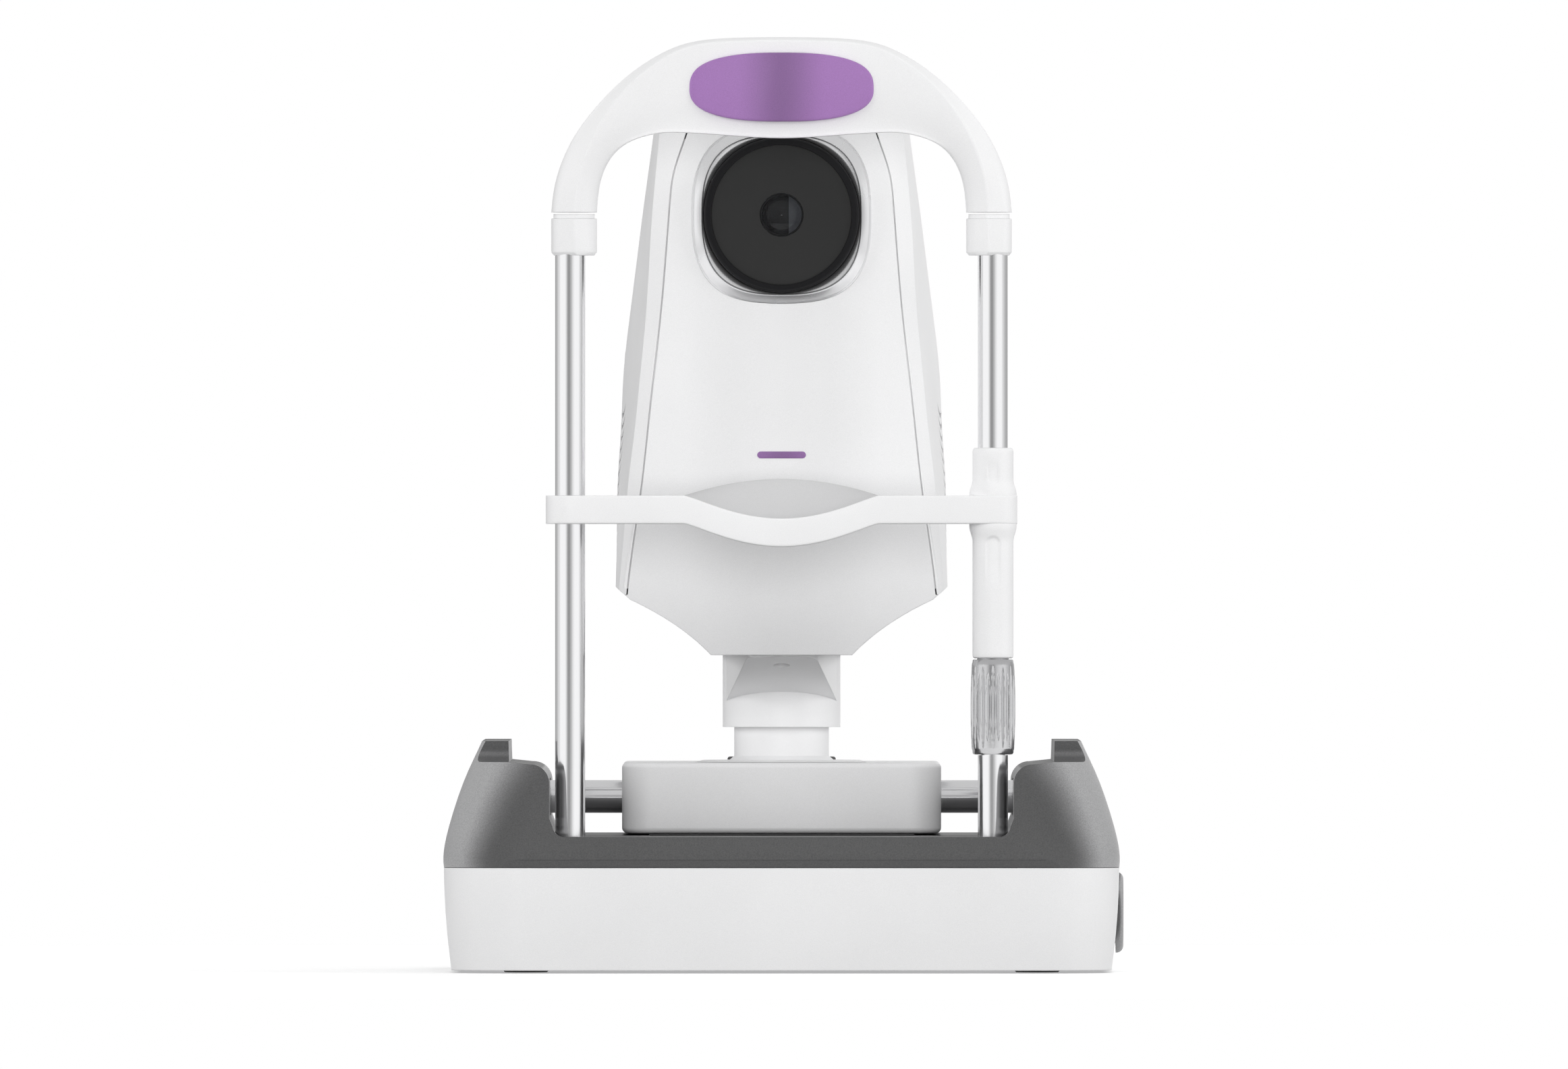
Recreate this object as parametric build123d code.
from build123d import *
import math
import os

# A table-top eye-measuring instrument. The patient sits in front, on the -Y side, with the chin in
# the cup and the forehead on the pad; the operator sits behind, on the +Y side, at the joystick and
# the display. +X is to the patient's left, +Z is up, and Z = 0 is the table top.
# Units are millimetres.

# ---------------------------------------------------------------- base and deck
BASE_W = 333.0                 # width at the seam between housing and deck
BASE_D = 370.0
BASE_CORNER = 38.0             # plan radius of the corners
FOOT_H = 2.5
HOUSING_Z = 1.0                # underside of the housing wall
SEAM_Z = 51.7                  # housing below, deck cover above
DECK_Z = 66.8                  # flat top of the deck
TOWER_TOP = 113.8              # highest line of the side towers
PLATEAU_Z = 103.6              # lower step beside the ridge
WALL = 3.0                     # plastic wall
CHASSIS_Z = 59.8               # underside of the steel chassis plate
CHASSIS_T = 3.0
TOWER_IN = 114.5               # inner face of each tower
RIDGE_IN = 135.0               # inner face of each ridge
RIDGE_END = 140.0              # where the ridge starts and stops along Y

# ---------------------------------------------------------------- face rest
COL_X = 104.2                  # columns stand at +-COL_X
COL_Y = -155.0
COL_R = 7.4
COLLAR_R = 11.25
COLLAR_SHIFT = 1.9             # collars and arch arms sit this much further in than the columns
EYE_Z = 373.5                  # height of the lens axis and of the eye-level groove
COLLAR_LOW, COLLAR_HIGH = 353.2, 371.7
ARCH_LOW = 373.6
KNOB_LOW, KNOB_HIGH = 107.3, 154.1
SLEEVE_LOW, SLEEVE_HIGH = 154.7, 258.4
SLEEVE_R = 10.0
BAND_LOW, BAND_HIGH = 220.9, 234.9
BAND_R = 12.0                  # round ends of the chin-rest band
BAND_DIP = 11.3                # how far the band dips under the chin
DIP_HALF = 48.0
CUP_LIP_Z = 243.2
SCREW_R = 7.8                  # threaded bush of the chin-rest drive
FLUTES = 24

# ---------------------------------------------------------------- running gear
AXLE_Y = -28.0
AXLE_Z = 85.9
AXLE_R = 8.1
MODULE = 1.5
PINION_TEETH = 12
PITCH_R = MODULE * PINION_TEETH / 2
FORWARD, BACK = 22.0, 30.0     # carriage travel towards the patient and away
RACK_X = 129.0
RAIL_X = 142.0

# ---------------------------------------------------------------- carriage, neck and joystick
CAR_W = 158.0
CAR_LOW, CAR_TOP = 67.8, 102.8
CAR_FRONT, CAR_BACK = -60.0, 150.0
NECK_Y = 10.0
NECK_R = 23.5
ARM_R = 29.2
ARM_LOW = 120.2
STICK_Y = 122.0
STICK_PIVOT_Z = 90.0
SEAT_R = 24.6
DOME_R = 22.0

# ---------------------------------------------------------------- head
HEAD_LOW = 156.1
HEAD_TOP = 438.0
FLOOR_Z = 176.0                # floor of the frame inside the head
REAR_SPLIT = 34.0              # where the side covers meet the rear cover
SEAM_GAP = 0.6
LENS_FRONT = -113.0
BARREL_R = 38.45
DISC_R = 34.7
APERTURE_R = 10.8
BEZEL = 87.0
DISPLAY_W, DISPLAY_H = 104.0, 160.0
DISPLAY_Z = 312.0


def box(x0, x1, y0, y1, z0, z1):
    """A block between two corners."""
    block = Box(x1 - x0, y1 - y0, z1 - z0)
    return Pos((x0 + x1) / 2, (y0 + y1) / 2, (z0 + z1) / 2) * block


def rod(x, y, z0, z1, r):
    """An upright cylinder."""
    return Pos(x, y, (z0 + z1) / 2) * Cylinder(r, z1 - z0)


def rod_x(x0, x1, y, z, r):
    """A cylinder along X."""
    return Pos((x0 + x1) / 2, y, z) * Rot(0, 90, 0) * Cylinder(r, x1 - x0)


def rod_y(x, y0, y1, z, r):
    """A cylinder along Y."""
    return Pos(x, (y0 + y1) / 2, z) * Rot(90, 0, 0) * Cylinder(r, y1 - y0)


def rounded(w, d, r, z):
    """A rounded rectangle at height z."""
    return Plane.XY.offset(z) * RectangleRounded(w, d, r)


def front_face(edges):
    """A face in the XZ plane at Y = 0 from edges drawn as (x, z)."""
    return Plane.XZ * make_face(Wire(edges))


def along_y(face_xz, y0, y1):
    """Sweeps a face of the XZ plane from y0 to y1."""
    return Pos(0, y1, 0) * extrude(face_xz, amount=y1 - y0, dir=(0, -1, 0))


def mirrored(shape):
    """The same shape on the other side of the YZ plane."""
    return mirror(shape, about=Plane.YZ)


def pair(shape):
    """A shape and its mirror image, as one node of separate solids."""
    return Compound(children=[*shape.solids(), *mirrored(shape).solids()])


def group(shapes):
    """Several solids as one node."""
    return Compound(children=[s for shape in shapes for s in shape.solids()])


def at(table, z):
    """Linear interpolation in a list of (height, value)."""
    if z <= table[0][0]:
        return table[0][1]
    for (z0, v0), (z1, v1) in zip(table, table[1:]):
        if z <= z1:
            return v0 + (v1 - v0) * (z - z0) / (z1 - z0)
    return table[-1][1]


# ================================================================ base
HOUSING_SIDE = [(HOUSING_Z, 3.7), (24.3, 1.2), (SEAM_Z, 0.0)]     # height, how far the wall leans in
DECK_SIDE = [(SEAM_Z, 0.0), (60.0, 0.0), (74.3, 3.2), (87.6, 7.4), (101.8, 13.1), (TOWER_TOP, 18.7)]


def leaning(profile, inset=0.0):
    """The base's plan, lofted up a side profile."""
    cuts = []
    for z, lean in profile:
        shrink = 2 * (lean + inset)
        cuts.append(rounded(BASE_W - shrink, BASE_D - shrink, BASE_CORNER - inset, z))
    return loft(cuts)


BOSS_X = BASE_W / 2 - BASE_CORNER + 18.5
BOSS_Y = BASE_D / 2 - BASE_CORNER + 18.5
POWER_X, POWER_Z = 100.0, 28.0
POWER_W, POWER_H = 64.0, 32.0
DIAL_Z = 28.8
DIAL_Y = -60.0
TABLE_HOLES_X, TABLE_HOLES_Y = 220.0, 260.0


def base_housing():
    shell = leaning(HOUSING_SIDE) - leaning(HOUSING_SIDE, WALL)
    shell -= box(-200, 200, -200, 200, SEAM_Z - 0.2, SEAM_Z + 5)
    outside = leaning(HOUSING_SIDE)
    for x in (-BOSS_X, BOSS_X):
        for y in (-BOSS_Y, BOSS_Y):
            turn = math.degrees(math.atan2(y / abs(y), x / abs(x)))
            rib = Pos(x, y, 28) * Rot(0, 0, turn) * Pos(6, 0, 0) * Box(10, 2.4, 44)
            shell += (rod(x, y, 5.2, 50, 6) + rib) & outside
            shell -= rod(x, y, 4, 20, 1.7)
    shell += rod_x(155, 163.6, DIAL_Y, DIAL_Z, 17.5) & outside
    w, h = POWER_W / 2 + 0.2, POWER_H / 2 + 0.2
    shell -= box(POWER_X - w, POWER_X + w, 170, 200, POWER_Z - h, POWER_Z + h)
    shell -= rod_x(150, 180, DIAL_Y, DIAL_Z, 10.2)
    shell -= rod_x(163.1, 180, DIAL_Y, DIAL_Z, 15.7)
    return shell - rod_x(164.9, 180, DIAL_Y, DIAL_Z, 20.6)


def base_plate():
    plate = extrude(rounded(317, 354, 32, FOOT_H), amount=2.5)
    for x in (-TABLE_HOLES_X / 2, TABLE_HOLES_X / 2):
        for y in (-TABLE_HOLES_Y / 2, TABLE_HOLES_Y / 2):
            plate -= rod(x, y, 0, 10, 2.5)
    for x in (-BOSS_X, BOSS_X):
        for y in (-BOSS_Y, BOSS_Y):
            plate -= rod(x, y, 0, 10, 1.9)
    return plate


def rubber_feet():
    foot = Cylinder(11, FOOT_H)
    foot = chamfer(foot.edges().group_by(Axis.Z)[0], 0.6)
    spots = [(x, y) for x in (-126, 126) for y in (-150, 150)]
    return group([Pos(x, y, FOOT_H / 2) * foot for x, y in spots])


def base_screws():
    """Pan-head screws that hold the base plate to the housing."""
    screws = []
    for x in (-BOSS_X, BOSS_X):
        for y in (-BOSS_Y, BOSS_Y):
            head = rod(x, y, 1.1, FOOT_H, 3.2) - rod(x, y, 0, 1.8, 1.3)
            screws.append(head + rod(x, y, FOOT_H, 15, 1.65))
    return group(screws)


def chassis_plate():
    """Steel plate under the deck, with welded sockets that hold the columns."""
    plate = extrude(rounded(312, 348, 30, CHASSIS_Z), amount=CHASSIS_T)
    plate -= box(-40, 40, 100, 130, 50, 70)
    for x in (-COL_X, COL_X):
        plate += rod(x, COL_Y, 38, CHASSIS_Z, 12) + rod(x, COL_Y, CHASSIS_Z - 4, CHASSIS_Z, 18)
        plate -= rod(x, COL_Y, 40, 70, COL_R + 0.05)
    return plate


def channel_outline():
    """Right half of the space between the towers, seen from the front, above the deck."""
    top = TOWER_TOP + 10
    edges = [
        Line((0, DECK_Z), (107.5, DECK_Z)),
        ThreePointArc((107.5, DECK_Z), (111.0, 68.3), (112.9, 72.0)),
        Line((112.9, 72.0), (TOWER_IN, 76.0)),
        Line((TOWER_IN, 76.0), (TOWER_IN, 93.5)),
        ThreePointArc((TOWER_IN, 93.5), (117.2, 99.8), (124.0, 102.5)),
        Line((124.0, 102.5), (RIDGE_IN - 0.6, PLATEAU_Z)),
        Line((RIDGE_IN - 0.6, PLATEAU_Z), (RIDGE_IN, top)),
        Line((RIDGE_IN, top), (0, top)),
        Line((0, top), (0, DECK_Z)),
    ]
    return front_face(edges)


def ridge_end_cut():
    """Takes the front end off the ridges down to the plateau, with a concave sweep."""
    r = TOWER_TOP - PLATEAU_Z
    start = (-RIDGE_END - r, PLATEAU_Z)
    mid = (-RIDGE_END - r * (1 - math.sin(math.pi / 4)), TOWER_TOP - r * math.cos(math.pi / 4))
    end = (-RIDGE_END, TOWER_TOP)
    edges = [
        Line((-200, PLATEAU_Z), start),
        ThreePointArc(start, mid, end),
        Line(end, (-RIDGE_END, TOWER_TOP + 10)),
        Line((-RIDGE_END, TOWER_TOP + 10), (-200, TOWER_TOP + 10)),
        Line((-200, TOWER_TOP + 10), (-200, PLATEAU_Z)),
    ]
    face = Plane.YZ * make_face(Wire(edges))
    return Pos(-200, 0, 0) * extrude(face, amount=400, dir=(1, 0, 0))


def deck_cover():
    hill = leaning(DECK_SIDE)
    gap = along_y(channel_outline(), -200, 200)
    hill = hill - gap - mirrored(gap)
    sweep = ridge_end_cut()
    hill = hill - sweep - mirror(sweep, about=Plane.XZ)
    room = rounded(BASE_W - 8, BASE_D - 8, BASE_CORNER - 4, SEAM_Z - 1)
    hill -= extrude(room, amount=CHASSIS_Z + CHASSIS_T + 0.2 - SEAM_Z + 1)
    tower = leaning(DECK_SIDE, WALL) & box(TOWER_IN + WALL, 170, -172, 172, 60, 98.5)
    front, back = AXLE_Y - FORWARD - 9.2, AXLE_Y + BACK + 9.2
    slot = box(TOWER_IN - 2, TOWER_IN + WALL + 1, front, back, AXLE_Z - 9.2, AXLE_Z + 9.2)
    hill = hill - tower - slot - mirrored(tower) - mirrored(slot)
    for x in (-COL_X, COL_X):
        hill -= rod(x, COL_Y, 55, 75, COL_R + 0.3)
    low, high = SEAM_Z - 1, SEAM_Z + 3.8
    undercut = Polyline((-190, low), (-183.6, low), (-185.1, high), (-190, high), close=True)
    hill -= Pos(-145, 0, 0) * extrude(Plane.YZ * make_face(undercut), amount=290, dir=(1, 0, 0))
    return hill


def glide_plate():
    return box(-65.5, 65.5, -84, 178, DECK_Z, DECK_Z + 0.7)


def rack_tooth(y):
    """One straight-sided rack tooth, as a face in YZ."""
    pitch_line = AXLE_Z - PITCH_R
    top, root = pitch_line + 1.1, pitch_line - 1.7
    slope = math.tan(math.radians(20))
    half = math.pi * MODULE / 4 - 0.22
    return Polyline(
        (y - half - slope * 1.7, root),
        (y - half + slope * 1.1, top),
        (y + half - slope * 1.1, top),
        (y + half + slope * 1.7, root),
        close=True,
    )


def toothed_racks():
    """A rack inside each tower. A tooth gap is centred under the axle at rest."""
    pitch = math.pi * MODULE
    root = AXLE_Z - PITCH_R - 1.7
    y0, y1 = AXLE_Y - FORWARD - 14, AXLE_Y + BACK + 14
    bar = box(RACK_X - 4, RACK_X + 4, y0, y1, CHASSIS_Z + CHASSIS_T, root)
    first = math.ceil((y0 + 3 - AXLE_Y) / pitch - 0.5)
    last = math.floor((y1 - 3 - AXLE_Y) / pitch - 0.5)
    for i in range(first, last + 1):
        face = Plane.YZ * make_face(rack_tooth(AXLE_Y + (i + 0.5) * pitch))
        bar += Pos(RACK_X - 4, 0, 0) * extrude(face, amount=8, dir=(1, 0, 0))
    return pair(bar)


def guide_rails():
    y0, y1 = AXLE_Y - FORWARD - 20, AXLE_Y + BACK + 20
    return pair(box(RAIL_X - 2.5, RAIL_X + 2.5, y0, y1, CHASSIS_Z + CHASSIS_T, 75))


def power_supply():
    body = box(-62, 48, 20, 165, 5.0, 38)
    return body - box(-50, 40, 19, 23, 10, 34)


def control_board():
    board = box(-70, 60, -120, 0, 20, 21.6)
    chips = box(-50, -25, -90, -65, 21.6, 24) + box(0, 30, -60, -40, 21.6, 26)
    chips += box(20, 50, -115, -100, 21.6, 33)
    posts = [rod(x, y, 5.0, 20, 3) for x in (-64, 54) for y in (-114, -6)]
    for post in posts:
        chips += post
    return board + chips


INLET_X = POWER_X + 10.0
SWITCH_X = POWER_X - 20.0
ROCKER_Y = 182.0
ROCKER_TILT = 6.0


def power_inlet():
    """Mains module: flange, three-pin inlet open to the rear, and the body of the switch beside it."""
    w, h = POWER_W / 2, POWER_H / 2
    module = box(POWER_X - w, POWER_X + w, 181, 184, POWER_Z - h, POWER_Z + h)
    module += box(INLET_X - 13.6, INLET_X + 13.6, 162, 184.4, POWER_Z - 9.8, POWER_Z + 9.8)
    module += box(SWITCH_X - 6.8, SWITCH_X + 6.8, 164, 184.4, POWER_Z - 10, POWER_Z + 10)
    module -= box(INLET_X - 12.2, INLET_X + 12.2, 167, 190, POWER_Z - 8.2, POWER_Z + 8.2)
    module -= box(SWITCH_X - 5.6, SWITCH_X + 5.6, 174, 190, POWER_Z - 8.8, POWER_Z + 8.8)
    for dx, dz in ((-7, -2), (7, -2), (0, 2)):
        module += box(INLET_X + dx - 1, INLET_X + dx + 1, 160, 182, POWER_Z + dz - 2, POWER_Z + dz + 2)
    return module - rod_x(SWITCH_X - 6.6, SWITCH_X + 6.6, ROCKER_Y, POWER_Z, 1.26)


def power_rocker():
    """A rocker that turns on an X axis inside the mains module, shown switched off."""
    outline = Polyline((-1, -7.6), (3.2, -7.7), (1.6, 0), (3.2, 7.7), (-1, 7.6), (-4, 0), close=True)
    rocker = extrude(Plane.YZ * make_face(outline), amount=10.4, dir=(1, 0, 0))
    rocker = Pos(-5.2, 0, 0) * rocker + rod_x(-6.5, 6.5, 0, 0, 1.2)
    return Pos(SWITCH_X, ROCKER_Y, POWER_Z) * Rot(ROCKER_TILT, 0, 0) * rocker


def lock_hub():
    """Black boss that carries the stage-lock dial."""
    hub = rod_x(155, 163.1, DIAL_Y, DIAL_Z, 10.0) + rod_x(163.1, 165.1, DIAL_Y, DIAL_Z, 15.4)
    return hub - rod_x(150, 170, DIAL_Y, DIAL_Z, 4.05)


def stage_lock_dial():
    """Flat round dial on the right of the base, with a spindle through its hub."""
    disc = rod_x(165.3, 169.1, DIAL_Y, DIAL_Z, 20.0)
    disc = fillet(disc.edges().group_by(Axis.X)[-1], 3.4)
    return disc + rod_x(148, 165.3, DIAL_Y, DIAL_Z, 4.0) + rod_x(144, 148, DIAL_Y, DIAL_Z, 8.0)


# ================================================================ face rest
def column_left():
    tube = rod(-COL_X, COL_Y, 42, COLLAR_HIGH - 4, COL_R)
    return tube - rod(-COL_X, COL_Y, 41, COLLAR_HIGH, COL_R - 1.5)


def column_right():
    """Stepped: tube, thinner rod inside the chin-rest drive, tube again."""
    lower = rod(COL_X, COL_Y, 42, KNOB_LOW - 0.3, COL_R)
    core = rod(COL_X, COL_Y, KNOB_LOW - 0.3, 244, 6.0)
    upper = rod(COL_X, COL_Y, 244, COLLAR_HIGH - 4, COL_R)
    bores = rod(COL_X, COL_Y, 250, COLLAR_HIGH, COL_R - 1.5) + rod(COL_X, COL_Y, 41, 100, COL_R - 1.5)
    return lower + core + upper - bores


def eye_level_collars():
    """Cups under the arch's arms; the groove above each marks the eye level."""
    x = COL_X - COLLAR_SHIFT
    cup = rod(x, COL_Y, COLLAR_LOW, COLLAR_HIGH, COLLAR_R)
    cup = chamfer(cup.edges().group_by(Axis.Z)[0], 1.4)
    cup += rod(x, COL_Y, COLLAR_HIGH, ARCH_LOW, COLLAR_R - 0.9)
    return pair(cup - rod(COL_X, COL_Y, 350, COLLAR_HIGH - 4, COL_R + 0.05))


ARCH_OUTER = [
    (-113.55, ARCH_LOW),
    (-112.2, 385.5),
    (-108.3, 399.3),
    (-101.4, 413.1),
    (-90.0, 428.0),
    (-78.5, 439.5),
    (-62.4, 451.0),
    (-48.6, 457.2),
    (-32.6, 459.9),
    (0, 460.8),
]
ARCH_INNER = [
    (-91.05, ARCH_LOW),
    (-90.0, 385.5),
    (-86.5, 397.0),
    (-80.8, 405.0),
    (-71.6, 410.8),
    (-62.4, 413.1),
    (-50.9, 413.8),
    (-37.2, 413.1),
    (-18.8, 411.7),
    (0, 411.0),
]
PAD_Z = 436.1
PAD_W, PAD_H = 91.0, 34.0
ARCH_BOW = 8.0                 # how far the middle of the brow band stands back


def mirror_points(points):
    """A left-hand run of (x, z) points, carried on over the middle to the right."""
    return points + [(-x, z) for x, z in reversed(points[:-1])]


def arch_front_face():
    outer = mirror_points(ARCH_OUTER)
    inner = mirror_points(ARCH_INNER)
    edges = [
        Spline(*outer, tangents=[(0, 1), (0, -1)]),
        Line(outer[-1], inner[-1]),
        Spline(*reversed(inner), tangents=[(0, 1), (0, -1)]),
        Line(inner[0], outer[0]),
    ]
    return front_face(edges)


def arch_plan(front, back, bow_back):
    """Plan of the brow band: straight at the arms, bowed away from the patient in the middle."""
    edges = [
        ThreePointArc((-120, front), (0, front + ARCH_BOW), (120, front)),
        Line((120, front), (120, back)),
        ThreePointArc((120, back), (0, back + bow_back), (-120, back)),
        Line((-120, back), (-120, front)),
    ]
    return make_face(Wire(edges))


def forehead_arch():
    body = along_y(arch_front_face(), -185, -130)
    plan = extrude(arch_plan(COL_Y - 11.2, COL_Y + 11.2, 0.5), amount=120)
    body &= Pos(0, 0, 360) * plan
    pocket = along_y(pad_outline(0.2), -180, -150)
    pocket &= Pos(0, 0, 360) * extrude(arch_plan(COL_Y - 30, COL_Y - 8.2, ARCH_BOW), amount=120)
    return body - pocket


def superellipse(w, h, n, cx, cz, count=28):
    """Closed smooth outline, squarer than an ellipse as n grows, as (x, z) points."""
    points = []
    for i in range(count):
        a = 2 * math.pi * (i + 0.5) / count
        c, s = math.cos(a), math.sin(a)
        x = cx + w / 2 * math.copysign(abs(c) ** (2 / n), c)
        z = cz + h / 2 * math.copysign(abs(s) ** (2 / n), s)
        points.append((x, z))
    return points


def pad_outline(grow=0.0):
    points = superellipse(PAD_W + 2 * grow, PAD_H + 2 * grow, 2.6, 0, PAD_Z)
    return front_face([Spline(*points, periodic=True)])


def forehead_pad():
    pad = along_y(pad_outline(), -185, -140)
    band = arch_plan(COL_Y - 12.7, COL_Y - 8.4, ARCH_BOW)
    return pad & Pos(0, 0, 360) * extrude(band, amount=120)


def band_line(z, dip=BAND_DIP):
    """A level line at height z that dips in the middle, as edges from left to right."""
    near, part = DIP_HALF * 0.55, z - dip * 0.62
    points = [(-DIP_HALF, z), (-near, part), (0, z - dip), (near, part), (DIP_HALF, z)]
    return Spline(*points, tangents=[(1, -0.05), (1, 0.05)])


def chin_rest_arm():
    """Band across both columns, with the sleeve that rides on the right one."""
    left, right = -COL_X - BAND_R, COL_X + BAND_R
    edges = [
        Line((left, BAND_HIGH), (-DIP_HALF, BAND_HIGH)),
        band_line(BAND_HIGH),
        Line((DIP_HALF, BAND_HIGH), (right, BAND_HIGH)),
        Line((right, BAND_HIGH), (right, BAND_LOW)),
        Line((right, BAND_LOW), (DIP_HALF, BAND_LOW)),
        band_line(BAND_LOW),
        Line((-DIP_HALF, BAND_LOW), (left, BAND_LOW)),
        Line((left, BAND_LOW), (left, BAND_HIGH)),
    ]
    band = along_y(front_face(edges), COL_Y - BAND_R, COL_Y + BAND_R)
    plan = Pos(0, COL_Y, 0) * SlotOverall(2 * (COL_X + BAND_R), 2 * BAND_R)
    band &= extrude(Plane.XY.offset(180) * plan, amount=80)
    sleeve = rod(COL_X, COL_Y, SLEEVE_LOW, SLEEVE_HIGH, SLEEVE_R)
    sleeve = chamfer(sleeve.edges().group_by(Axis.Z)[0], 1.0)
    sleeve = fillet(sleeve.edges().group_by(Axis.Z)[-1], 1.0)
    bulge = rod(COL_X, COL_Y, BAND_LOW - 1, BAND_HIGH + 1, BAND_R - 0.3)
    for z, way in ((BAND_HIGH + 1, 1), (BAND_LOW - 1, -1)):
        cone = Cone(BAND_R - 0.3, SLEEVE_R, 6.0)
        turn = 0 if way > 0 else 180
        bulge += Pos(COL_X, COL_Y, z + way * 3.0) * Rot(turn, 0, 0) * cone
    arm = band + sleeve + bulge + chin_cup()
    arm -= rod(-COL_X, COL_Y, 200, 260, COL_R + 0.1)
    arm -= rod(COL_X, COL_Y, 100, 176, SCREW_R + 0.06)
    arm -= rod(COL_X, COL_Y, 176, 246, SCREW_R + 0.5)
    arm -= rod(COL_X, COL_Y, 245, 300, COL_R + 0.1)
    return arm


def chin_cup():
    """Dished cup on the band, low at the patient's side and with a raised lip behind."""
    edge = (DIP_HALF, BAND_HIGH)
    half = (DIP_HALF * 0.55, BAND_HIGH + 6.0)
    lip = Spline((-edge[0], edge[1]), (-half[0], half[1]), (0, CUP_LIP_Z), half, edge)
    body = along_y(front_face([band_line(BAND_HIGH), lip]), CUP_FRONT, CUP_BACK)
    reach = CUP_BACK - CUP_FRONT
    floor_z = BAND_HIGH - BAND_DIP + 2.5
    rise = [(CUP_FRONT, floor_z), (CUP_FRONT + reach * 0.55, floor_z + 2.5), (CUP_BACK - 2.5, CUP_LIP_Z + 1)]
    scoop_edges = [
        Line((CUP_FRONT - 5, floor_z), rise[0]),
        Spline(*rise),
        Line(rise[-1], (CUP_FRONT - 5, CUP_LIP_Z + 1)),
        Line((CUP_FRONT - 5, CUP_LIP_Z + 1), (CUP_FRONT - 5, floor_z)),
    ]
    scoop = Plane.YZ * make_face(Wire(scoop_edges))
    return body - Pos(-36, 0, 0) * extrude(scoop, amount=72, dir=(1, 0, 0))


CUP_FRONT, CUP_BACK = COL_Y - 9.5, -137.5


def height_knob():
    """Barrel-shaped nut with long flutes; turning it raises the chin rest."""
    mid = (KNOB_LOW + KNOB_HIGH) / 2
    edges = [
        Line((SCREW_R, KNOB_LOW), (9.6, KNOB_LOW)),
        Line((9.6, KNOB_LOW), (10.3, KNOB_LOW + 1.2)),
        ThreePointArc((10.3, KNOB_LOW + 1.2), (11.05, mid), (10.4, KNOB_HIGH - 0.8)),
        Line((10.4, KNOB_HIGH - 0.8), (9.8, KNOB_HIGH)),
        Line((9.8, KNOB_HIGH), (SCREW_R, KNOB_HIGH)),
        Line((SCREW_R, KNOB_HIGH), (SCREW_R, KNOB_LOW)),
    ]
    barrel = revolve(Plane.XZ * make_face(Wire(edges)), axis=Axis.Z)
    for i in range(FLUTES):
        a = 2 * math.pi * (i + 0.5) / FLUTES
        barrel -= Pos(11.3 * math.cos(a), 11.3 * math.sin(a), mid) * Cylinder(0.95, KNOB_HIGH - KNOB_LOW - 6)
    return Pos(COL_X, COL_Y, 0) * barrel


def height_screw():
    """Threaded bush fixed in the knob; it turns on the column's core."""
    bush = rod(COL_X, COL_Y, KNOB_LOW, 240, SCREW_R)
    return bush - rod(COL_X, COL_Y, 100, 250, 6.06)


# ================================================================ running gear
def end_blocks():
    """Bearing blocks inside the towers that carry the axle and straddle the guide rails."""
    block = box(RAIL_X - 6, RAIL_X + 3.6, AXLE_Y - 12, AXLE_Y + 12, 70, 97)
    block -= rod_x(RAIL_X - 10, RAIL_X + 2, AXLE_Y, AXLE_Z, 4.04)
    block -= box(RAIL_X - 2.56, RAIL_X + 2.56, AXLE_Y - 20, AXLE_Y + 20, 60, 75.1)
    return pair(block)


def axle_shaft():
    shaft = rod_x(-123, 123, AXLE_Y, AXLE_Z, AXLE_R)
    shaft += rod_x(-RAIL_X + 6.4, RAIL_X - 6.4, AXLE_Y, AXLE_Z, 5.0)
    return shaft + rod_x(-RAIL_X - 1, RAIL_X + 1, AXLE_Y, AXLE_Z, 4.0)


def pinion_tooth(a):
    """One pinion tooth about the origin, its flanks curved like an involute, as a closed line."""
    base_r, root_r, tip_r = PITCH_R * math.cos(math.radians(20)), PITCH_R - 1.75, PITCH_R + 1.1
    half = math.pi / 2 / PINION_TEETH - 0.22 / PITCH_R
    involute = math.tan(math.radians(20)) - math.radians(20)
    side = [(root_r, half + involute)]
    for r in (base_r, (base_r + PITCH_R) / 2, PITCH_R, (PITCH_R + tip_r) / 2, tip_r):
        pressure = math.acos(min(1.0, base_r / r))
        side.append((r, half + involute - (math.tan(pressure) - pressure)))
    left = [(r * math.sin(a + t), r * math.cos(a + t)) for r, t in side]
    right = [(r * math.sin(a - t), r * math.cos(a - t)) for r, t in reversed(side)]
    return Polyline(*left, *right, close=True)


def pinions():
    """Toothed wheels near the ends of the axle, standing on the racks."""
    wheel = Cylinder(PITCH_R - 1.6, 7)
    for i in range(PINION_TEETH):
        a = math.pi + 2 * math.pi * i / PINION_TEETH
        wheel += Pos(0, 0, -3.5) * extrude(make_face(pinion_tooth(a)), amount=7)
    wheel -= Cylinder(5.0, 20)
    return pair(Pos(RACK_X, AXLE_Y, AXLE_Z) * Rot(0, 90, 0) * Rot(0, 0, 90) * wheel)


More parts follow.
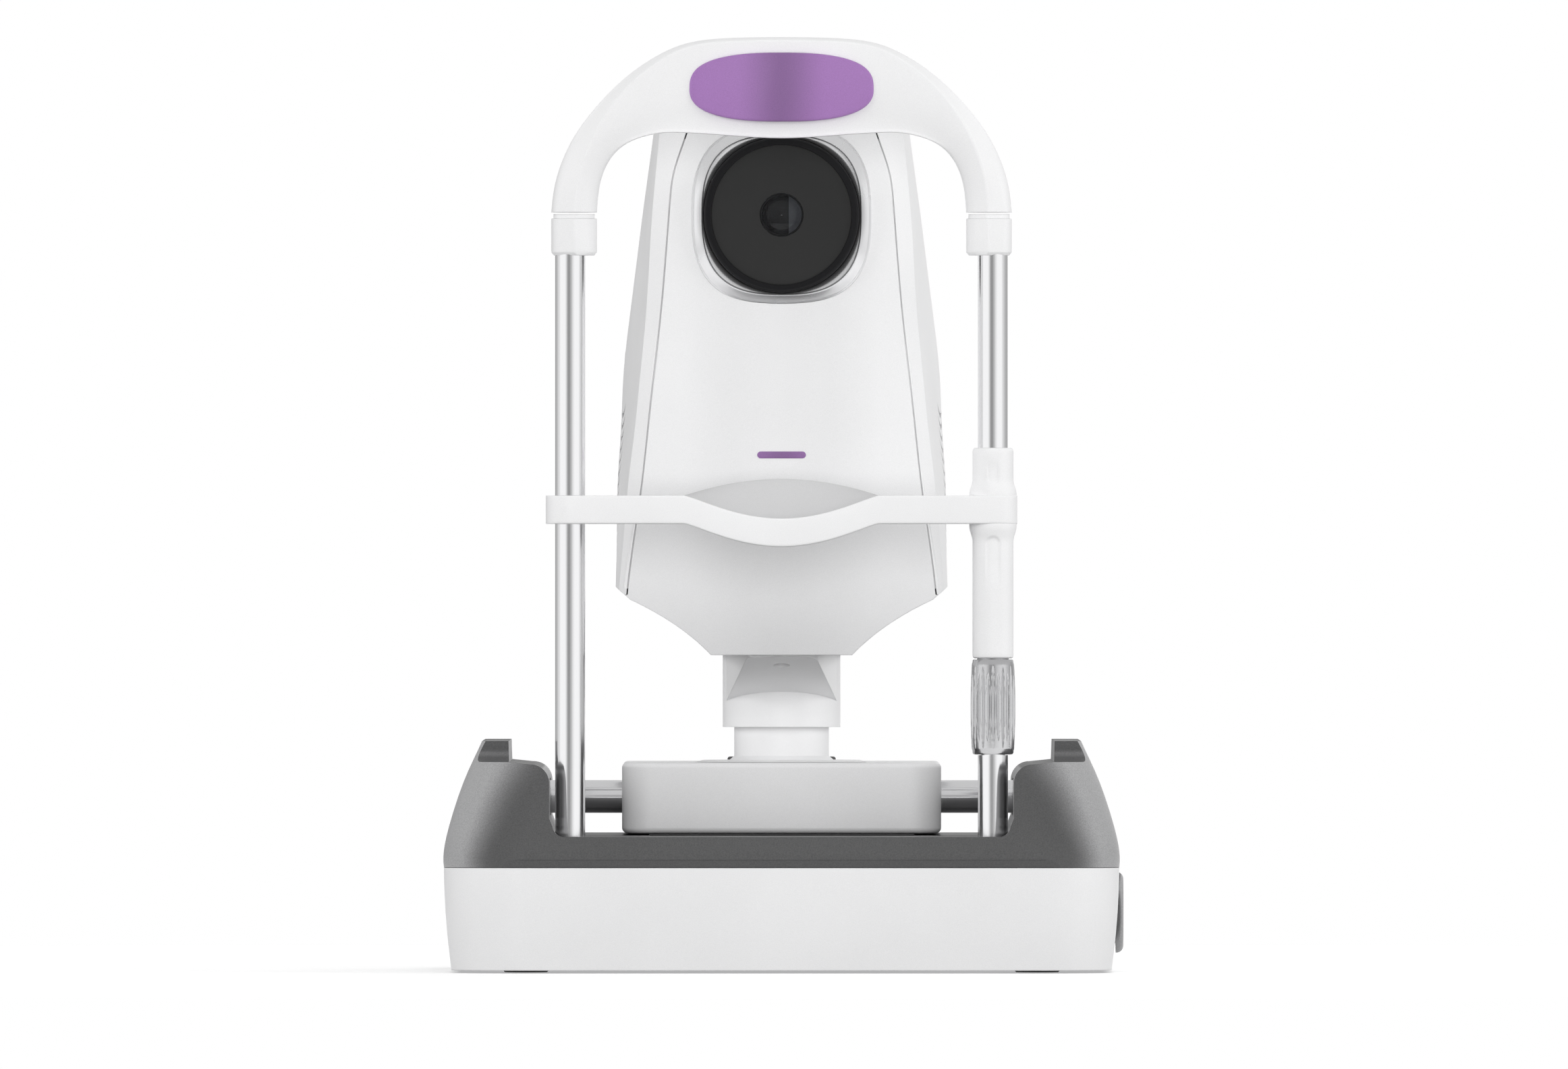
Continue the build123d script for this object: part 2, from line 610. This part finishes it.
# ================================================================ carriage
def carriage_housing():
    body = box(-CAR_W / 2, CAR_W / 2, CAR_FRONT, CAR_BACK, CAR_LOW, CAR_TOP)
    body = fillet(body.edges().filter_by(Axis.Z), 14)
    body = fillet(body.faces().sort_by(Axis.Z)[-1].edges(), 2.5)
    body = fillet(body.faces().sort_by(Axis.Z)[0].edges(), 2.8)
    half = CAR_W / 2 - WALL
    hollow = box(-half, half, CAR_FRONT + WALL, CAR_BACK - WALL, CAR_LOW - 1, CAR_TOP - WALL)
    hollow = fillet(hollow.edges().filter_by(Axis.Z), 11)
    body -= hollow
    body -= rod_x(-90, 90, AXLE_Y, AXLE_Z, AXLE_R + 0.6)
    body -= rod(0, NECK_Y, 95, 110, NECK_R + 0.1)
    body -= rod(0, STICK_Y, 95, 110, SEAT_R + 0.1)
    return body


def carriage_base():
    """Cast bearer inside the carriage: bridge over the axle, motor seat and joystick seat."""
    plate = box(-72, 72, CAR_FRONT + 6, CAR_BACK - 6, 70.4, 73.4)
    plate = fillet(plate.edges().filter_by(Axis.Z), 8)
    plate -= box(-60, 60, AXLE_Y - 9.5, AXLE_Y + 9.5, 60, 80)
    plate -= rod(0, STICK_Y, 60, 80, 16)
    for side in (-1, 1):
        plate += box(side * 62 - 9, side * 62 + 9, AXLE_Y - 15, AXLE_Y + 15, 73.4, 99.6)
    plate -= rod_x(-90, 90, AXLE_Y, AXLE_Z, 11.0)
    plate += box(-30, 30, 60, 64, 73.4, 99)
    return plate


def axle_bushes():
    """Plain bearings that let the carriage slide along the axle."""
    bush = rod_x(53, 71, AXLE_Y, AXLE_Z, 11.0) - rod_x(50, 80, AXLE_Y, AXLE_Z, AXLE_R + 0.05)
    return pair(bush)


def glide_pads():
    """Low-friction feet under the rear of the carriage; they slide on the glide plate."""
    pads = [rod(x, y, DECK_Z + 0.9, 70.4, 6) for x in (-50, 50) for y in (60, 138)]
    return group(pads)


def lift_motor():
    body = box(-21, 21, NECK_Y - 21, NECK_Y + 21, 73.4, 98.4)
    body = chamfer(body.edges().filter_by(Axis.Z), 4)
    return body - rod(0, NECK_Y, 72, 110, 5.4)


def lift_column():
    """Fixed inner tube of the telescopic neck, with its flange on top of the carriage."""
    tube = rod(0, NECK_Y, 99.9, 168, NECK_R)
    flange = Pos(0, NECK_Y, CAR_TOP + 0.6) * Cone(42.3, 39, 1.0)
    foot = Pos(0, NECK_Y, CAR_TOP + 2.1) * Cone(NECK_R + 2.4, NECK_R, 2.0)
    return tube + flange + foot - rod(0, NECK_Y, 95, 180, NECK_R - 4)


def joystick_seat():
    """Flanged cup in the carriage top that holds the joystick's gimbal."""
    seat = rod(0, STICK_Y, CAR_TOP + 0.1, CAR_TOP + 2.2, 27)
    seat = fillet(seat.edges().group_by(Axis.Z)[-1], 1.2)
    seat += rod(0, STICK_Y, 84, CAR_TOP + 0.1, SEAT_R)
    seat -= rod(0, STICK_Y, 80, CAR_TOP, SEAT_R - 2)
    seat -= rod(0, STICK_Y, 80, 110, 18.6)
    return seat - rod_x(-23.9, 23.9, STICK_Y, STICK_PIVOT_Z, 1.65)


# ================================================================ joystick
def gimbal_ring():
    ring = rod(0, STICK_Y, STICK_PIVOT_Z - 3, STICK_PIVOT_Z + 3, 14.2)
    ring -= rod(0, STICK_Y, 80, 100, 10.6)
    for side in (-1, 1):
        ring += rod_x(side * 18 - 5.6, side * 18 + 5.6, STICK_Y, STICK_PIVOT_Z, 1.6)
    return ring - rod_y(0, STICK_Y - 20, STICK_Y + 20, STICK_PIVOT_Z, 1.55)


def joystick_stick():
    """Steel stick with a collar whose trunnions turn in the gimbal ring."""
    stick = rod(0, STICK_Y, STICK_PIVOT_Z - 8, 151, 5.0)
    stick += rod(0, STICK_Y, STICK_PIVOT_Z - 2.5, STICK_PIVOT_Z + 2.5, 9.0)
    return stick + rod_y(0, STICK_Y - 13.6, STICK_Y + 13.6, STICK_PIVOT_Z, 1.5)


def joystick_dome():
    """Round cap on the stick, centred on the pivot, that closes the seat at every tilt."""
    dome = Sphere(DOME_R) - Sphere(DOME_R - 1.8) - box(-30, 30, -30, 30, -30, 7.5)
    dome += rod(0, 0, DOME_R - 2.4, DOME_R + 3, 8.0)
    return Pos(0, STICK_Y, STICK_PIVOT_Z) * (dome - rod(0, 0, 0, 40, 5.05))


def joystick_grip():
    """Waisted handle that stands on the stick."""
    edges = [
        Line((0, 138.2), (16.5, 138.2)),
        ThreePointArc((16.5, 138.2), (14.6, 146), (17.6, 154)),
        ThreePointArc((17.6, 154), (17.2, 161), (10.5, 164.4)),
        Line((10.5, 164.4), (0, 164.4)),
        Line((0, 164.4), (0, 138.2)),
    ]
    grip = revolve(Plane.XZ * make_face(Wire(edges)), axis=Axis.Z)
    grip -= rod(0, 0, 130, 151.2, 5.05)
    grip -= rod(0, 0, 156, 170, 7.3)
    return Pos(0, STICK_Y, 0) * grip


def lift_ring():
    """Knurled ring at the foot of the handle; turning it raises or lowers the head."""
    ring = Cylinder(18.2, 12)
    ring = chamfer(ring.edges().filter_by(GeomType.CIRCLE), 1.0)
    count = 36
    for i in range(count):
        a = 2 * math.pi * i / count
        ring -= Pos(18.7 * math.cos(a), 18.7 * math.sin(a), 0) * Cylinder(0.95, 14)
    ring -= Cylinder(5.06, 20)
    return Pos(0, STICK_Y, 131.6) * ring


def trigger_button():
    cap = rod(0, STICK_Y, 158.4, 166.4, 7.0)
    return fillet(cap.edges().group_by(Axis.Z)[-1], 1.5)


# ================================================================ head
# Each list runs up the head as (height, half width) or (height, y).
SEAM_HALF = [
    (150, 76.6), (190, 76.0), (235, 69.4), (280, 64.4), (320, 59.8),
    (379, 54.9), (393, 53.2), (413, 46.9), (440, 38.0),
]
RIDGE_HALF = [
    (150, 80.8), (190, 80.2), (235, 76.4), (280, 71.3),
    (320, 67.4), (379, 63.6), (413, 60.5), (440, 56.0),
]
SIDE_HALF = [
    (150, 81.7), (190, 81.7), (235, 81.6), (280, 79.2),
    (320, 75.9), (379, 68.4), (413, 63.6), (440, 58.5),
]
FRONT_Y = [
    (150, -92), (156, -94), (175, -99.5), (200, -104),
    (235, -107), (280, -108), (413, -108), (440, -107),
]
REAR_Y = [(150, 57), (175, 66), (205, 78), (235, 83.5), (280, 85), (379, 83), (413, 80), (440, 77)]
LEVELS = [150, 172, 190, 212, 235, 258, 280, 320, 350, 379, 396, 413, 440]


def head_plan(z, inset=0.0):
    """Plan section of the head at height z."""
    ws, wr, wm = (at(t, z) - inset for t in (SEAM_HALF, RIDGE_HALF, SIDE_HALF))
    yf = at(FRONT_Y, z) + inset
    yb = at(REAR_Y, z) - inset
    ys, yr, ym = yf + 4.5, yf + 13.5, 20.0
    wb = wm - 9.0
    edges = [
        ThreePointArc((-ws, ys), (0, yf), (ws, ys)),
        Line((ws, ys), (wr, yr)),
        ThreePointArc((wr, yr), ((wr + wm) / 2 + 1.2, (yr + ym) / 2), (wm, ym)),
        ThreePointArc((wm, ym), (wm - 2.0, (ym + yb) / 2), (wb, yb)),
        ThreePointArc((wb, yb), (0, yb + 2.5), (-wb, yb)),
        ThreePointArc((-wb, yb), (-wm + 2.0, (ym + yb) / 2), (-wm, ym)),
        ThreePointArc((-wm, ym), (-(wr + wm) / 2 - 1.2, (yr + ym) / 2), (-wr, yr)),
        Line((-wr, yr), (-ws, ys)),
    ]
    return Plane.XY.offset(z) * make_face(Wire(edges))


CHIN_CURVE = [(34.9, HEAD_LOW), (45.4, 165.7), (58.3, 174.7), (74.8, 183.5)]


def head_front_outline(inset=0.0):
    """Silhouette of the head from the front: flared chin, straight sides, rounded top."""
    low = HEAD_LOW + inset
    curve = [(x - inset * 0.6, z + inset * 0.8) for x, z in CHIN_CURVE]
    curve[0] = (curve[0][0] + 0.0, low)
    corner = (82.6 - inset, 190.2 + inset * 0.4)
    shoulder = (82.6 - inset, 404.0)
    crown = (34.0, HEAD_TOP - inset)
    bend = (62.0 - inset, 424.0 - inset * 0.5)
    left = (-shoulder[0], shoulder[1])
    edges = [
        Line((-curve[0][0], low), curve[0]),
        Spline(*curve),
        Line(curve[-1], corner),
        Line(corner, shoulder),
        Spline(shoulder, bend, crown, tangents=[(0, 1), (-1, 0.08)]),
        Line(crown, (-crown[0], crown[1])),
        Spline((-crown[0], crown[1]), (-bend[0], bend[1]), left, tangents=[(-1, -0.08), (0, -1)]),
        Line(left, (-corner[0], corner[1])),
        Line((-corner[0], corner[1]), (-curve[-1][0], curve[-1][1])),
        Spline(*[(-x, z) for x, z in reversed(curve)]),
    ]
    return front_face(edges)


def head_side_outline(inset=0.0):
    """Silhouette from the side, which only rounds the top edges, front and back."""
    front, rear, top = -116 + inset, 92 - inset, HEAD_TOP - inset + 0.5
    edges = [
        Line((rear, 140), (rear, top - 44)),
        ThreePointArc((rear, top - 44), (rear - 12, top - 13), (rear - 42, top)),
        Line((rear - 42, top), (front + 30, top)),
        ThreePointArc((front + 30, top), (front + 11, top - 7), (front + 3, top - 26)),
        Line((front + 3, top - 26), (front + 3, 140)),
        Line((front + 3, 140), (rear, 140)),
    ]
    face = Plane.YZ * make_face(Wire(edges))
    return Pos(-120, 0, 0) * extrude(face, amount=240, dir=(1, 0, 0))


def head_solid(inset=0.0):
    body = loft([head_plan(z, inset) for z in LEVELS])
    body &= along_y(head_front_outline(inset), -150, 120)
    return body & head_side_outline(inset)


def front_seam_outline(grow=0.0):
    """Outline of the front cover, seen from the front."""
    right = [(at(SEAM_HALF, z) + grow, z) for z in (186, 210, 235, 280, 320, 379, 393)]
    top = [(47.5 + grow, 411.0), (42.0 + grow, 432.0), (41.0 + grow, 450.0)]
    edges = [
        Line((-95, 140), (95, 140)),
        Line((95, 140), (95, 181.5)),
        Line((95, 181.5), right[0]),
        Spline(*right, *top),
        Line(top[-1], (-top[-1][0], top[-1][1])),
        Spline(*[(-x, z) for x, z in reversed(top)], *[(-x, z) for x, z in reversed(right)]),
        Line((-right[0][0], right[0][1]), (-95, 181.5)),
        Line((-95, 181.5), (-95, 140)),
    ]
    return front_face(edges)


def vent_slots():
    """Smile-shaped louvres down one side cover, as cutters running along X."""
    cutters = []
    rows = 13
    for i in range(rows):
        z = 281.0 - 5.87 * i
        middle = 2.0
        chord, sag, thick = 29.0, 7.6, 2.3
        a, b = (middle - chord, z), (middle + chord, z)
        edges = [
            ThreePointArc(a, (middle, z - sag), b),
            ThreePointArc(b, (middle, z - sag + thick), a),
        ]
        face = Plane.YZ * make_face(Wire(edges))
        cutters.append(Pos(60, 0, 0) * extrude(face, amount=40, dir=(1, 0, 0)))
    return cutters


def make_head_covers():
    """Front, left, right and rear covers, cut from one thin-walled body."""
    shell = head_solid() - head_solid(WALL)
    shell -= rod(0, NECK_Y, 150, 165, ARM_R - 1.0) + rod(0, ARM_HOLE_Y, 150, 165, 3.0)
    ahead = along_y(front_seam_outline(), -150, -70)
    front = shell & ahead
    front += (shell & box(-95, 95, -150, REAR_SPLIT - SEAM_GAP / 2, 140, 181)) - ahead
    front -= squircle(BEZEL + 0.4, -150, -60)
    rest = shell - along_y(front_seam_outline(SEAM_GAP), -150, -70)
    middle = rest & box(-95, 95, -150, REAR_SPLIT - SEAM_GAP / 2, 181.0 + SEAM_GAP, 450)
    rear = shell & box(-95, 95, REAR_SPLIT + SEAM_GAP / 2, 120, 140, 450)
    right = middle & box(SEAM_GAP / 2, 95, -150, 120, 140, 450)
    for cutter in vent_slots():
        right -= cutter
    left = mirrored(right)
    left -= rod_x(-90, -76.4, DIMPLE_Y, DIMPLE_Z, 4.8)
    w, h = DISPLAY_W / 2 + 0.3, DISPLAY_H / 2 + 0.3
    rear -= box(-w, w, 60, 120, DISPLAY_Z - h, DISPLAY_Z + h)
    return {"front_cover": front, "side_cover_left": left, "side_cover_right": right, "rear_cover": rear}


DIMPLE_Y, DIMPLE_Z = 19.0, 301.5


def support_arm():
    """Outer tube of the neck, with the tongue that carries the head, and the guide inside it."""
    tube = rod(0, NECK_Y, ARM_LOW, HEAD_LOW, ARM_R)
    tip = NECK_Y - 99.6
    nose = [(18.2, tip + 11.6), (13.0, tip + 2.6), (0, tip), (-13.0, tip + 2.6), (-18.2, tip + 11.6)]
    plan = [
        Line((27.4, NECK_Y - 10), (18.2, tip + 11.6)),
        Spline(*nose, tangents=[(-0.12, -1), (-0.12, 1)]),
        Line((-18.2, tip + 11.6), (-27.4, NECK_Y - 10)),
        Line((-27.4, NECK_Y - 10), (27.4, NECK_Y - 10)),
    ]
    tongue = Pos(0, 0, 120) * extrude(make_face(Wire(plan)), amount=HEAD_LOW - 120)
    reach, low, high = 110.0, HEAD_LOW - 0.6, HEAD_LOW + 5
    heel = tip + reach
    slope = Polyline((tip, low), (heel, low - 0.25 * reach), (heel, high), (tip, high), close=True)
    tongue &= Pos(-60, 0, 0) * extrude(Plane.YZ * make_face(slope), amount=120, dir=(1, 0, 0))
    guide = rod(0, NECK_Y, HEAD_LOW, 190, ARM_R - 1.2) + rod(0, NECK_Y, FLOOR_Z - 4, FLOOR_Z, ARM_R + 8)
    arm = tube + tongue + guide
    arm -= rod(0, NECK_Y, 100, 184, NECK_R + 0.06)
    arm -= rod(0, NECK_Y, 180, 200, 9.1)
    return arm - rod(0, ARM_HOLE_Y, 130, 170, 4.0)


ARM_HOLE_Y = NECK_Y - 81.6


def arm_screw():
    """Cap screw up through the tongue into the head's frame."""
    screw = rod(0, ARM_HOLE_Y, 152.2, 156.0, 3.9) + rod(0, ARM_HOLE_Y, 156.0, FLOOR_Z - 2, 2.5)
    return screw - Pos(0, ARM_HOLE_Y, 150) * extrude(RegularPolygon(1.7, 6), amount=4.4)


def lift_nut():
    nut = rod(0, NECK_Y, 184.1, 196, 9.0) + rod(0, NECK_Y, 190.1, 193, 14)
    return nut - rod(0, NECK_Y, 170, 200, 5.06)


def lift_screw():
    screw = rod(0, NECK_Y, 74, 212, 5.0)
    return chamfer(screw.edges().group_by(Axis.Z)[-1], 1.0)


def head_frame():
    """Folded sheet inside the head: foot plate, two cheeks and the optical bench."""
    foot = box(-46, 46, -82, 54, FLOOR_Z, FLOOR_Z + 3) - rod(0, NECK_Y, 150, 190, ARM_R - 1.1)
    foot += rod(0, ARM_HOLE_Y, HEAD_LOW + WALL, FLOOR_Z, 5)
    foot -= rod(0, ARM_HOLE_Y, 150, 190, 2.55)
    for side in (-1, 1):
        foot += box(side * 46 - 1.5, side * 46 + 1.5, -60, 54, FLOOR_Z, 331)
    foot += box(-47.5, 47.5, -80, 62, 330, 333)
    foot -= box(-60, 60, -45, 40, 200, 310)
    foot += box(-20, -14, -60, 40, 333, 343) + box(14, 20, -60, 40, 333, 343)
    return foot


def squircle_face(size):
    """Face with a squircle outline around the lens axis, at Y = 0."""
    points = superellipse(size, size, 2.9, 0, EYE_Z, 24)
    return front_face([Spline(*points, periodic=True)])


def squircle(size, y0, y1):
    return along_y(squircle_face(size), y0, y1)


def lens_bezel():
    """Raised squircle rim around the lens barrel, dished towards the barrel."""
    ring = squircle(BEZEL, -109.8, -92)
    ring = chamfer(ring.edges().group_by(Axis.Y)[0], 1.2)
    dish = extrude(squircle_face(BEZEL - 6), amount=9, dir=(0, -1, 0), taper=-24)
    return ring - Pos(0, -101.5, 0) * dish - rod_y(0, -130, -80, EYE_Z, BARREL_R + 0.3)


def lens_barrel():
    barrel = rod_y(0, LENS_FRONT, -78, EYE_Z, BARREL_R)
    barrel = fillet(barrel.edges().group_by(Axis.Y)[0], 1.6)
    return barrel - rod_y(0, -120, -70, EYE_Z, DISC_R)


def front_disc():
    disc = rod_y(0, LENS_FRONT + 1.2, LENS_FRONT + 4.2, EYE_Z, DISC_R - 0.05)
    return disc - rod_y(0, -130, -90, EYE_Z, APERTURE_R)


def objective_lens():
    """Plano-convex front lens."""
    y = LENS_FRONT + 8.0
    edges = [
        ThreePointArc((-12.6, 0), (0, 2.8), (12.6, 0)),
        Line((12.6, 0), (12.6, -3.0)),
        Line((12.6, -3.0), (-12.6, -3.0)),
        Line((-12.6, -3.0), (-12.6, 0)),
    ]
    half = make_face(Wire(edges)) & Pos(6.4, 0) * Rectangle(12.8, 20)
    lens = revolve(half, axis=Axis.Y)
    return Pos(0, y, EYE_Z) * Rot(180, 0, 0) * lens


def lens_tube():
    """Stepped black tube that carries the objective behind the disc."""
    tube = rod_y(0, LENS_FRONT + 4.3, -20, EYE_Z, 16.0) + rod_y(0, -84, -78.2, EYE_Z, DISC_R - 0.1)
    tube += rod_y(0, -60, -20, EYE_Z, 26)
    tube -= rod_y(0, -120, LENS_FRONT + 11.1, EYE_Z, 12.65)
    tube -= rod_y(0, -110, 0, EYE_Z, 11.6)
    return tube


def beam_splitter():
    """Slanted plate behind the tube; its edge shows as an upright line in the aperture."""
    plate = Box(34, 2.0, 30)
    return Pos(6.5, 8.0, EYE_Z) * Rot(0, 0, 45) * plate


def optics_block():
    """Closed block behind the tube that holds the splitter."""
    block = box(-26, 30, -19.8, 40, EYE_Z - 30.4, EYE_Z + 24)
    block -= box(-21, 25, -16, 36, EYE_Z - 22, EYE_Z + 20)
    block -= rod_y(0, -30, 50, EYE_Z, 10.5)
    return block


def camera_module():
    body = box(-17, 17, 40.2, 66, EYE_Z - 17, EYE_Z + 17)
    return body - rod_y(0, 30, 44, EYE_Z, 8)


def main_board():
    board = box(-42, 42, 60, 61.6, 190, 320)
    board += box(-20, 10, 61.6, 64.5, 230, 260) + box(15, 35, 61.6, 66, 200, 215)
    for x in (-36, 36):
        for z in (196, 314):
            board += rod_y(x, 57.0, 60, z, 3)
    return board


def display_frame():
    w, h = DISPLAY_W / 2, DISPLAY_H / 2
    frame = box(-w, w, 76, 88.6, DISPLAY_Z - h, DISPLAY_Z + h)
    frame = fillet(frame.edges().filter_by(Axis.Y), 5)
    frame = fillet(frame.edges().group_by(Axis.Y)[-1], 1.0)
    return frame - box(-w + 4, w - 4, 70, 100, DISPLAY_Z - h + 4, DISPLAY_Z + h - 4)


def display_panel():
    w, h = DISPLAY_W / 2 - 4.05, DISPLAY_H / 2 - 4.05
    return box(-w, w, 77, 87.9, DISPLAY_Z - h, DISPLAY_Z + h)


# ================================================================ all nodes
NODES = {
    "base_housing": base_housing,
    "base_plate": base_plate,
    "rubber_feet": rubber_feet,
    "base_screws": base_screws,
    "chassis_plate": chassis_plate,
    "deck_cover": deck_cover,
    "glide_plate": glide_plate,
    "toothed_racks": toothed_racks,
    "guide_rails": guide_rails,
    "power_supply": power_supply,
    "control_board": control_board,
    "power_inlet": power_inlet,
    "power_rocker": power_rocker,
    "lock_hub": lock_hub,
    "stage_lock_dial": stage_lock_dial,
    "column_left": column_left,
    "column_right": column_right,
    "eye_level_collars": eye_level_collars,
    "forehead_arch": forehead_arch,
    "forehead_pad": forehead_pad,
    "chin_rest_arm": chin_rest_arm,
    "height_knob": height_knob,
    "height_screw": height_screw,
    "end_blocks": end_blocks,
    "axle_shaft": axle_shaft,
    "pinions": pinions,
    "carriage_housing": carriage_housing,
    "carriage_base": carriage_base,
    "axle_bushes": axle_bushes,
    "glide_pads": glide_pads,
    "lift_motor": lift_motor,
    "lift_column": lift_column,
    "joystick_seat": joystick_seat,
    "joystick_dome": joystick_dome,
    "gimbal_ring": gimbal_ring,
    "joystick_stick": joystick_stick,
    "joystick_grip": joystick_grip,
    "lift_ring": lift_ring,
    "trigger_button": trigger_button,
    "support_arm": support_arm,
    "arm_screw": arm_screw,
    "lift_nut": lift_nut,
    "lift_screw": lift_screw,
    "head_frame": head_frame,
    "lens_bezel": lens_bezel,
    "lens_barrel": lens_barrel,
    "front_disc": front_disc,
    "objective_lens": objective_lens,
    "lens_tube": lens_tube,
    "beam_splitter": beam_splitter,
    "optics_block": optics_block,
    "camera_module": camera_module,
    "main_board": main_board,
    "display_frame": display_frame,
    "display_panel": display_panel,
}


def main():
    os.makedirs("parts", exist_ok=True)
    for name, make in NODES.items():
        export_step(make(), f"parts/{name}.step")
    for name, shape in make_head_covers().items():
        export_step(shape, f"parts/{name}.step")


main()
